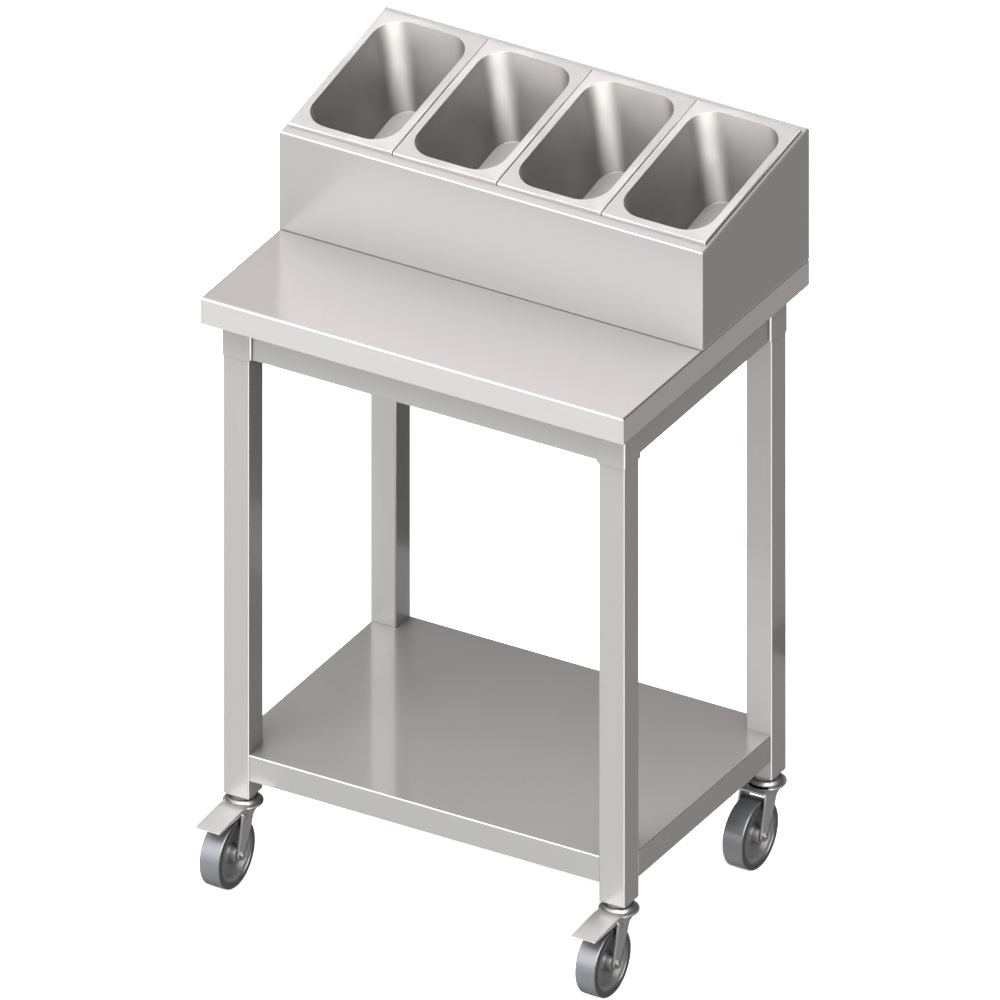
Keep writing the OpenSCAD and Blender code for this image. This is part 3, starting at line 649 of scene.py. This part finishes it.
class BuildStage(bpy.types.Operator):
    """Lays the pale floor, sets the soft lights and places the camera"""

    bl_idname = "trolley.stage"
    bl_label = "Stage"

    def execute(self, context):
        scene, stage = context.scene, context.scene.trolley_stage
        self.camera(scene, stage)
        self.floor(scene, stage)
        self.room(scene, stage)
        self.key_lamp(scene, stage)
        self.side_lamp(scene, stage)
        self.flags(scene)
        scene.view_settings.view_transform = "Standard"
        return {"FINISHED"}

    def camera(self, scene, stage):
        """A parallel camera that looks down at the trolley from the front right."""
        distance = 3
        a, e = stage.azimuth, stage.elevation
        right = Vector((math.cos(a), math.sin(a), 0))
        back = Vector((math.sin(a) * math.cos(e), -math.cos(a) * math.cos(e), math.sin(e)))
        up = back.cross(right)
        data = bpy.data.cameras.new("camera")
        data.type = "ORTHO"
        data.ortho_scale = stage.view_width
        data.clip_end = 50
        camera = bpy.data.objects.new("camera", data)
        turn = Matrix((right, up, back)).transposed()
        place = right * stage.view_right + up * stage.view_up + back * distance
        camera.matrix_world = Matrix.Translation(place) @ turn.to_4x4()
        scene.collection.objects.link(camera)
        scene.camera = camera

    def floor(self, scene, stage):
        """A broad floor that shines a little, so that it stays pale under the trolley."""
        half = 15
        mesh = bpy.data.meshes.new("floor")
        mesh.from_pydata([(-half, -half, 0), (half, -half, 0), (half, half, 0), (-half, half, 0)],
                         [], [(0, 1, 2, 3)])
        material, tree, shader = blank("finish_floor")
        place = add(tree, "ShaderNodeTexCoord").outputs["Object"]
        colour = np.array(stage.floor)
        connect(tree, shader, {
            "Base Color": mixed(tree, noise(tree, place, 1.5), (*colour, 1), (*colour * 1.02, 1)),
            "Roughness": 0.9,
            "Emission Color": (1, 1, 1, 1),
            "Emission Strength": 0.7,
        })
        mesh.materials.append(material)
        floor = bpy.data.objects.new("floor", mesh)
        floor.visible_glossy = floor.visible_diffuse = False
        scene.collection.objects.link(floor)

    def room(self, scene, stage):
        """Soft light from all round: each lobe adds to it about its own direction."""
        world = bpy.data.worlds.new("studio")
        tree = emptied(world)
        direction = add(tree, "ShaderNodeTexCoord").outputs["Generated"]
        glossy = self.lobes(tree, direction, stage.ambient, (
            ((0.433, 0.75, -0.5), 0.35, 0.95, 0.10),  # shows in the right faces
            ((-0.433, 0.75, 0.5), 0.60, 1.00, -0.15),  # in the level tops
            ((-0.433, 0.52, 0.73), 0.90, 1.00, 1.20),  # in the sloping rims
            ((-0.433, -0.75, 0.50), 0.80, 0.985, 4.10),  # in the front that the worktop mirrors
            ((0.75, -0.44, -0.50), 0.86, 0.99, 1.30),  # in the upright edges
            ((-0.433, -0.75, -0.5), 0.40, 0.95, 0.77),  # in the front faces
            ((0.433, 0.75, 0.35), 0.75, 0.95, -0.15),  # in the sides that the tops mirror
        ))
        scattered = self.lobes(tree, direction, 0.20, (
            ((-0.3, -0.6, 0.75), -0.20, 1.00, 2.34),
            ((0.75, -0.35, 0.56), 0.20, 1.00, 0.35),
        ))
        behind = ramp(tree, component(tree, direction, "Y"), 0.0, 1.0, 0.0, 0.75)
        warm = mixed(tree, behind, (1.0, 0.99, 0.985, 1), (1.0, 0.95, 0.92, 1))
        shone = self.background(tree, warm, glossy)
        soft = self.background(tree, (1.0, 0.995, 0.99, 1), scattered)
        plain = self.background(tree, (1, 1, 1, 1), 1.0)
        ray = add(tree, "ShaderNodeLightPath").outputs
        lit = add(tree, "ShaderNodeMixShader", {0: ray["Is Diffuse Ray"], 1: shone, 2: soft})
        seen = add(tree, "ShaderNodeMixShader", {0: ray["Is Camera Ray"], 1: lit.outputs[0],
                                                 2: plain})
        add(tree, "ShaderNodeOutputWorld", {"Surface": seen.outputs[0]})
        world.cycles.sampling_method = "NONE"
        scene.world = world

    def background(self, tree, colour, strength):
        """Light of one colour and strength from the room."""
        made = add(tree, "ShaderNodeBackground", {"Color": colour, "Strength": strength})
        return made.outputs[0]

    def lobes(self, tree, direction, base, lobes):
        """A base strength, and lobes that add to it smoothly about their own directions.

        A lobe starts and is full where the cosine of the angle to its direction has the two
        values given.
        """
        total = base
        for centre, start, full, amount in lobes:
            towards = add(tree, "ShaderNodeVectorMath",
                          {0: direction, 1: Vector(centre).normalized()},
                          operation="DOT_PRODUCT").outputs["Value"]
            lobe = ramp(tree, towards, 0.0, amount, start, full, interpolation_type="SMOOTHSTEP")
            total = maths(tree, "ADD", total, lobe)
        return total

    def key_lamp(self, scene, stage):
        """A soft key lamp high in front, which lights the steel without showing in it."""
        data = bpy.data.lights.new("key", "AREA")
        data.size, data.energy = 1.4, stage.key
        lamp = bpy.data.objects.new("key", data)
        lamp.location = (-0.5, -1.7, 3.7)
        lamp.rotation_mode = "QUATERNION"
        aim = Vector((0, 0, 0.6)) - lamp.location
        lamp.rotation_quaternion = aim.to_track_quat("-Z", "Y")
        lamp.visible_camera = lamp.visible_glossy = False
        scene.collection.objects.link(lamp)

    def side_lamp(self, scene, stage):
        """A broad lamp from the front right that shows only in the pans and the casters.

        It gives the streaks in the pans' corners and the light lines on the tyres.
        """
        data = bpy.data.lights.new("side_lamp", "SUN")
        data.energy, data.angle = stage.side_lamp, math.radians(62)
        lamp = bpy.data.objects.new("side_lamp", data)
        lamp.rotation_mode = "QUATERNION"
        lamp.rotation_quaternion = Vector((0.45, -0.54, 0.71)).to_track_quat("Z", "Y")
        lamp.visible_camera = lamp.visible_diffuse = False
        lamp.light_linking.receiver_collection = bpy.data.collections.new("round_pieces")
        scene.collection.objects.link(lamp)

    def flags(self, scene):
        """Dark cards that only reflections see.

        One stands far behind, and the shelf reflects it. The other lies low behind the
        trolley, is dark from above only, and the inner sides of the legs reflect it.
        """
        left, right, back, low, high = -4, 3, 1.77, 0.7, 1.95
        upright = [(left, back, low), (right, back, low), (right, back, high), (left, back, high)]
        self.card(scene, "flag", upright, glow=0.09, fade=1.0, clear=1.5, lean=0.45)
        left, right, near, far, height = -0.25, 0.40, 0.30, 1.20, 0.26
        level = [(left, near, height), (right, near, height), (right, far, height),
                 (left, far, height)]
        self.card(scene, "low_flag", level, glow=0.063, fade=0.0, clear=10.0)

    def card(self, scene, name, corners, glow, fade, clear, lean=0.0):
        """A dark card, solid up to the height fade and clear from the height clear.

        Both heights rise by lean for each metre away from the card's middle at X = -0.6, to
        either side. The card gives off a faint light, glow.
        """
        middle = -0.6
        mesh = bpy.data.meshes.new(name)
        mesh.from_pydata(corners, [], [(0, 1, 2, 3)])
        material = bpy.data.materials.new(name)
        tree = emptied(material)
        place = add(tree, "ShaderNodeTexCoord").outputs["Object"]
        beside = maths(tree, "SUBTRACT", component(tree, place, "X"), middle)
        away = maths(tree, "ABSOLUTE", beside)
        height = maths(tree, "MULTIPLY_ADD", away, -lean, component(tree, place, "Z"))
        behind = add(tree, "ShaderNodeNewGeometry").outputs["Backfacing"]
        solid = maths(tree, "MULTIPLY", ramp(tree, height, 1.0, 0.0, fade, clear),
                      maths(tree, "SUBTRACT", 1.0, behind))
        dark = add(tree, "ShaderNodeEmission", {"Color": (1.0, 0.95, 0.92, 1), "Strength": glow})
        see = add(tree, "ShaderNodeBsdfTransparent")
        mix = add(tree, "ShaderNodeMixShader", {0: solid, 1: see.outputs[0], 2: dark.outputs[0]})
        add(tree, "ShaderNodeOutputMaterial", {"Surface": mix.outputs[0]})
        mesh.materials.append(material)
        card = bpy.data.objects.new(name, mesh)
        for ray in ("camera", "diffuse", "transmission", "shadow"):
            setattr(card, "visible_" + ray, False)
        scene.collection.objects.link(card)


class FinishFrame(bpy.types.Operator):
    """Gives every CAD node the procedural material of its slot"""

    bl_idname = "trolley.frame_finishes"
    bl_label = "Frame finishes"

    def execute(self, context):
        for node, made in frame["nodes"].items():
            material = slot_material(NODE_SLOT[node])
            for slot in made.material_slots:
                slot.material = material
        return {"FINISHED"}


class BuildPans(bpy.types.Operator):
    """Presses the four pans, and sets them on the sloping housing"""

    bl_idname = "trolley.pans"
    bl_label = "Pans"

    def execute(self, context):
        pans = context.scene.trolley_pans
        rings = self.rings(pans)
        front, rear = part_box("housing_front"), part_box("housing_rear")
        start = np.array([0, front[0].y, front[0].z + pans.front_height])
        slope = math.atan2(pans.rear_height - pans.front_height, rear[1].y - front[0].y)
        tip = np.array([[1, 0, 0], [0, math.cos(slope), math.sin(slope)],
                        [0, -math.sin(slope), math.cos(slope)]])
        count = 4
        for number in range(1, count + 1):
            centre = [(number - (count + 1) / 2) * (pans.width + pans.gap),
                      pans.setback + pans.depth_along / 2, pans.lip + pans.seat]
            piece(f"pressed_pan_{number}", f"pan_{number}", [(rings + centre) @ tip], start)
        return {"FINISHED"}

    def rings(self, pans):
        """Rings of a level pan about its middle, one for each point of its section.

        A ring is four quarter circles joined by straight sides. Past the mouth the circles'
        centres move out, so the rim ends in nearly square corners.
        """
        reach, height = self.section(pans).T
        inset = pans.rim + pans.mouth_corner
        half_x, half_y = pans.width / 2 - inset, pans.depth_along / 2 - inset
        past = np.clip((reach - pans.mouth_corner) / pans.rim, 0, 1)
        shift = past * (inset - pans.lip_corner)
        radius = reach - shift
        quarter = np.linspace(0, math.pi / 2, 13)
        angles = np.concatenate([quarter + k * math.pi / 2 for k in range(4)])
        sign_x = np.repeat([1, -1, -1, 1], len(quarter))
        sign_y = np.repeat([1, 1, -1, -1], len(quarter))
        x = sign_x * (half_x + shift[:, None]) + radius[:, None] * np.cos(angles)
        y = sign_y * (half_y + shift[:, None]) + radius[:, None] * np.sin(angles)
        return np.stack([x, y, np.repeat(height[:, None], len(angles), 1)], -1)

    def section(self, pans):
        """The pan's section as (reach past the corner's centre, height), inside then outside.

        It starts at the inner floor, climbs the drafted wall, turns over the rim and down
        the lip, and goes back under the rim and down the wall a sheet further out.
        """
        corner, sheet = pans.mouth_corner, pans.sheet
        slope = math.tan(pans.draft)
        edge = pans.rim + corner
        join, apart = edge - 2.5 * MM, 0.1 * MM
        flat, least = 2 * MM, 0.3 * MM

        def wall(grow):
            """From the floor over the wall to the rim, set out by grow."""
            foot_radius = pans.floor + grow
            mouth_radius = max(pans.mouth - grow, least)
            foot = corner - pans.mouth - slope * pans.depth + grow
            top = corner - pans.mouth + pans.mouth * slope + grow
            base = -pans.depth - grow + sheet
            return rounded([[foot - foot_radius - flat, base], [foot, base], [top, -grow],
                            [join, -grow]], [0, foot_radius, mouth_radius, 0], 7)

        lip = rounded([[join + apart, 0], [edge, 0], [edge, -pans.lip],
                       [edge - sheet, -pans.lip], [edge - sheet, -sheet],
                       [join - apart, -sheet]],
                      [0, pans.lip_bend, 0, 0, pans.lip_bend - sheet, 0])
        return np.concatenate([wall(0.0), lip, wall(sheet)[::-1]])


class BuildPlugs(bpy.types.Operator):
    """Turns the plugs in the legs' feet and the swivel bolts with their races"""

    bl_idname = "trolley.plugs"
    bl_label = "Plugs and swivel bolts"

    def execute(self, context):
        size = context.scene.trolley_casters
        plug, race = self.plug(size), self.race(size)
        for corner in CORNERS:
            place = caster_place(corner)
            piece(f"leg_plug_{corner}", f"plug_{corner}", plug, place)
            piece(f"swivel_race_{corner}", f"swivel_bolt_{corner}", race, place,
                  finish="screw_steel")
        return {"FINISHED"}

    def plug(self, size):
        """Rings of the collar under the leg's foot, and of the core that grips in the leg."""
        rim, low, high = size.collar_radius, size.leg_foot - size.collar, size.leg_foot - 0.4 * MM
        collar = rounded([[rim - 6 * MM, low], [rim, low], [rim, high], [rim - 3 * MM, high]],
                         [0, 1.2 * MM, 0.8 * MM, 0])
        side, low, high = size.core_radius, size.leg_foot - 0.5 * MM, size.leg_foot + size.core
        core = rounded([[side - 6 * MM, low], [side, low], [side, high], [side - 10 * MM, high]],
                       [0, 0.4 * MM, 3 * MM, 0])
        return [turned(collar), turned(core)]

    def race(self, size):
        """Rings of the race over the crown, and of the bolt's head and shank."""
        bore, rim = 6.5 * MM, size.race_radius
        low, high = size.crown_top + 0.5 * MM, size.leg_foot - size.collar + 0.2 * MM
        race = rounded([[bore, low], [rim, low], [rim, low + 3.2 * MM], [rim - 3.6 * MM, high],
                        [bore, high]], [0, 1.2 * MM, 1.4 * MM, 1.5 * MM, 0])
        top = size.crown_top - size.plate - 0.3 * MM
        head = np.array([[3, -7], [9, -7], [10.5, -6], [10.5, -0.8], [9.6, 0], [3, 0]]) * MM
        shank = [[size.bolt_radius, top - MM], [size.bolt_radius, size.leg_foot + size.core - MM]]
        return [turned(race, 96), hexagonal(size.bolt_flats, head) + [0, 0, top], turned(shank)]


class BuildForks(bpy.types.Operator):
    """Bends the casters' forks: two arms under a round crown"""

    bl_idname = "trolley.forks"
    bl_label = "Forks"

    def execute(self, context):
        size = context.scene.trolley_casters
        fork = [self.arms(size), self.crown(size)]
        for corner in CORNERS:
            piece(f"caster_fork_{corner}", f"fork_{corner}", fork, caster_place(corner))
        return {"FINISHED"}

    def arms(self, size):
        """Rings of one plate, up the right arm, across in the crown's plane and down the left."""
        x = size.arm_inside + size.plate / 2
        top = size.crown_top - size.plate / 2
        axle = size.wheel_radius
        low = axle - size.arm_end + 0.1 * MM
        neck = top - 16 * MM
        bend = rounded([[x, low], [x, top], [-x, top], [-x, low]], [0, size.bend, size.bend, 0],
                       10)
        rise = np.concatenate([low + (axle - low) * (1 - np.cos(np.linspace(0, 1.5, 9))),
                               np.linspace(axle, neck, 22)[1:],
                               np.linspace(neck, bend[1, 1], 36)[1:-1]])
        arm = np.stack([np.full_like(rise, x), rise], -1)
        line = np.concatenate([arm, bend[1:-1], arm[::-1] * [-1, 1]])
        step = np.gradient(line, axis=0)
        step /= np.linalg.norm(step, axis=1)[:, None]
        middle = np.zeros(len(line))
        path = np.stack([line[:, 0], middle, line[:, 1]], -1)
        normals = np.stack([step[:, 1], middle, -step[:, 0]], -1)
        front, rear = self.edges(size, line[:, 1])
        return ribbon(path, normals, (0, 1, 0), front, rear, size.plate, 0.5 * MM)

    def crown(self, size):
        """Rings of the round crown, with the bolt's hole in it."""
        hole, rim = 7 * MM, size.crown_radius
        low, high = size.crown_top - size.plate, size.crown_top
        return turned(rounded([[hole, low], [rim, low], [rim, high], [hole, high]],
                              [0, 1.6 * MM, 0.6 * MM, 0]), 96)

    def edges(self, size, height):
        """The arm's front and rear edge at each height.

        Below the axle they are a half circle round it. Above it they are lines up to the
        crown, and the rear one is filleted where it turns.
        """
        axle, end, ahead = size.wheel_radius, size.arm_end, -size.trail
        crown = size.crown_top - size.plate
        over = crown + 5 * MM
        below = np.clip((axle - height) / end, 0, 1)
        round_end = end * np.sqrt(1 - below ** 2)
        front_line = np.array([[ahead - end, axle], [-size.front_edge, crown],
                               [-size.front_edge, over]])
        waist, hip = [-14 * MM, crown - 24 * MM], [-8 * MM, crown - 8 * MM]
        rear_line = rounded([[ahead + end, axle], waist, hip, [size.rear_edge, crown],
                             [size.rear_edge, over]], [0, 30 * MM, 9 * MM, 3 * MM, 0], 12)
        front = np.interp(height, front_line[:, 1], front_line[:, 0])
        rear = np.interp(height, rear_line[:, 1], rear_line[:, 0])
        low = height < axle
        return np.where(low, ahead - round_end, front), np.where(low, ahead + round_end, rear)


class BuildWheels(bpy.types.Operator):
    """Turns the wheels' cores and tyres about their axles"""

    bl_idname = "trolley.wheels"
    bl_label = "Wheels"

    def execute(self, context):
        size = context.scene.trolley_casters
        core, tyre = self.core(size), self.tyre(size)
        for corner in CORNERS:
            place = axle_place(size, corner)
            piece(f"wheel_core_{corner}", f"wheel_{corner}", core, place, 40.0, closed=True)
            piece(f"wheel_tyre_{corner}", f"tyre_{corner}", tyre, place, 40.0, closed=True)
        return {"FINISHED"}

    def core(self, size):
        """Rings of the core: a hub, a thin web, and a rim that widens to the tyre's seat."""
        seat, half = size.wheel_radius - size.tyre, size.tread / 2
        bore, hub, boss = size.axle_radius + 0.05 * MM, size.hub, size.hub_radius
        web = size.web / 2
        side = rounded([[bore, hub], [boss, hub], [boss + 1.5 * MM, web + 4 * MM],
                        [boss + 5 * MM, web], [seat - 9 * MM, web],
                        [seat - 5 * MM, half - 3.5 * MM], [seat - 2.5 * MM, half - 1.5 * MM],
                        [seat, half - 2 * MM]],
                       [0, 1.2 * MM, 3 * MM, 4 * MM, 5 * MM, 3 * MM, 0.8 * MM, 0])
        profile = np.concatenate([side, side[::-1] * [1, -1]])
        return [lying_along_x(turned(profile, 128))]

    def tyre(self, size):
        """Rings of the tyre, from its seat on the core over one shoulder to the other."""
        outer, half = size.wheel_radius, size.tread / 2
        seat = outer - size.tyre
        side = rounded([[seat, half - 2 * MM], [seat + 0.8 * MM, half - 0.2 * MM],
                        [seat + 3 * MM, half], [outer - 0.1 * MM, half - 0.3 * MM], [outer, 0]],
                       [0, 0.8 * MM, 1.5 * MM, 2.6 * MM, 0])[:-1]
        middle = [[outer, 2 * MM], [outer, -2 * MM]]
        profile = np.concatenate([side, middle, side[::-1] * [1, -1]])
        return [lying_along_x(turned(profile, 128))]


class BuildAxles(bpy.types.Operator):
    """Makes the axle bolts, with a head on the left and a nut on the right"""

    bl_idname = "trolley.axles"
    bl_label = "Axles"

    def execute(self, context):
        size = context.scene.trolley_casters
        out, bar, inner = size.arm_inside + size.plate, size.axle_radius, 3 * MM
        shank = [[inner, -out - MM], [bar, -out - MM], [bar, out + 5 * MM],
                 [bar - 0.6 * MM, out + 5.5 * MM], [inner, out + 5.5 * MM]]
        thick = 4 * MM
        nut = hexagonal(size.axle_flats, [[inner, 0], [5.6 * MM, 0], [6.5 * MM, 0.5 * MM],
                                          [6.5 * MM, thick - 0.6 * MM], [5.6 * MM, thick],
                                          [inner, thick]])
        grids = [lying_along_x(rings) for rings in
                 (turned(shank, 32), nut - [0, 0, out + thick], nut + [0, 0, out])]
        for corner in CORNERS:
            piece(f"axle_bolt_{corner}", f"axle_{corner}", grids, axle_place(size, corner), 25.0)
        return {"FINISHED"}


class BuildPedals(bpy.types.Operator):
    """Folds the brake pedals and rivets their pins"""

    bl_idname = "trolley.pedals"
    bl_label = "Brake pedals"

    def execute(self, context):
        size, casters = context.scene.trolley_pedals, context.scene.trolley_casters
        pedal = [self.plate(size), *self.ears(size), self.shoe(size)]
        pin = [self.pin(size, casters.arm_inside + casters.plate)]
        for corner in BRAKED:
            place = caster_place(corner)
            piece(f"brake_pedal_{corner}", f"pedal_{corner}", pedal, place, 30.0)
            piece(f"pedal_rivet_{corner}", f"pedal_pin_{corner}", pin, place, 25.0)
        return {"FINISHED"}

    def plate(self, size):
        """Rings of the folded plate, from its rear edge to its tip.

        Each ring is the outline of a shallow channel: a flat top with a side turned down at
        either edge. The rear edge is notched by a circle round the swivel axis, and every
        line of the plate runs from that edge to the tip. The top dips past the bend, and the
        sides grow from there and run out towards the tip, where the corners are rounded.
        """
        tip = [0.97, 0.985, 0.994, 1.0]
        along = np.concatenate([np.linspace(0, tip[0], 30)[:-1], tip])
        nose = np.interp(along, [0.97, 0.994, 1], [0, 0.4 * MM, 1.6 * MM])
        t, w = size.plate, size.width / 2
        outline = rounded([[-w, -1], [-w, 0], [w, 0], [w, -1], [w - t, -1], [w - t, -t],
                           [t - w, -t], [t - w, -1]],
                          [0, 0.8 * MM, 0.8 * MM, 0, 0, 0.2 * MM, 0.2 * MM, 0], 4)
        flat = np.concatenate([np.linspace(outline[i], outline[(i + 1) % len(outline)], 9)[:-1]
                               for i in range(len(outline))])
        x, down = flat.T
        x = x[None] * (w - nose[:, None]) / w
        rear = np.maximum(size.rear, np.sqrt(np.maximum(size.notch ** 2 - x ** 2, 0)))
        ahead = rear + (size.reach - rear) * along[:, None]
        top = size.top - size.dip * np.maximum(0, ahead - size.bend) / (size.reach - size.bend)
        drop = np.interp(ahead, [size.bend, size.bend + 3 * MM, size.reach - 2 * MM],
                         [0.3 * MM, size.skirt - t, 0.5 * MM])
        depth = np.where(down < -2 * t, -t - drop * (-down - t) / (1 - t), down)
        return np.stack([x, -ahead, top + depth], -1)

    def ears(self, size):
        """Rings of two ears, which reach from under the plate to the pin and to the shoe."""
        under = size.top - size.plate / 2
        y, z = -size.pin_y, size.pin_z
        shoe, tip = -size.shoe, -size.shoe - 3 * MM
        outline = [[y + 3 * MM, under], [y + 3 * MM, z], [y, z - 3 * MM], [y - 3 * MM, z - MM],
                   [shoe, z], [tip, z + MM], [tip, under - 2.4 * MM], [-size.bend, under],
                   [y - 5 * MM, under]]
        soft = rounded(outline, [0, 2 * MM, 2 * MM, 0, MM, 0, 0, 0, 0])
        near, far = size.ear, size.ear + size.plate
        return [tube(soft, 0, side * near, side * far) for side in (-1, 1)]

    def shoe(self, size):
        """Rings of the bar between the ears that the pedal presses on the tyre."""
        half, edge, radius = size.ear, 0.6 * MM, size.shoe_radius
        end = radius - 0.8 * MM
        bar = [[end, -half], [radius, edge - half], [radius, half - edge], [end, half]]
        return lying_along_x(turned(bar, 32)) + [0, -size.shoe, size.pin_z + MM]

    def pin(self, size, out):
        """Rings of the pin, with a domed head outside either arm."""
        head = 4 * MM
        half = np.array([[size.pin, out], [head, out], [head, out + 0.1 * MM],
                         [head - 0.8 * MM, out + 0.8 * MM], [0.5 * MM, out + MM]])
        whole = np.concatenate([half[::-1] * [1, -1], half])
        return lying_along_x(turned(whole, 32)) + [0, -size.pin_y, size.pin_z]


# Panel and registration


class TrolleyPanel(bpy.types.Panel):
    """Lists the trolley's steps and sizes in the sidebar"""

    bl_idname = "VIEW3D_PT_trolley"
    bl_label = "Serving Trolley"
    bl_space_type = "VIEW_3D"
    bl_region_type = "UI"
    bl_category = "Trolley"

    def draw(self, context):
        for step in STEPS:
            self.layout.operator(step.bl_idname)
        for name in GROUPS:
            group = getattr(context.scene, name)
            box = self.layout.box()
            for key in group.bl_rna.properties.keys():
                if key not in ("rna_type", "name"):
                    box.prop(group, key)


GROUPS = {
    "trolley_finishes": TrolleyFinishes,
    "trolley_pans": TrolleyPans,
    "trolley_casters": TrolleyCasters,
    "trolley_pedals": TrolleyPedals,
    "trolley_stage": TrolleyStage,
}
STEPS = (BuildStage, FinishFrame, BuildPans, BuildPlugs, BuildForks, BuildWheels, BuildAxles,
         BuildPedals)
CLASSES = (*GROUPS.values(), *STEPS, TrolleyPanel)


def register():
    """Registers the classes and gives every scene the groups of sizes."""
    for made in CLASSES:
        bpy.utils.register_class(made)
    for name, group in GROUPS.items():
        setattr(bpy.types.Scene, name, PointerProperty(type=group))


def unregister():
    """Takes back what register did."""
    for name in GROUPS:
        delattr(bpy.types.Scene, name)
    for made in reversed(CLASSES):
        bpy.utils.unregister_class(made)


def main():
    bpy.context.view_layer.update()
    register()
    for step in STEPS:
        family, name = step.bl_idname.split(".")
        getattr(getattr(bpy.ops, family), name)()
    bpy.context.view_layer.update()


if __name__ == "__main__":
    main()
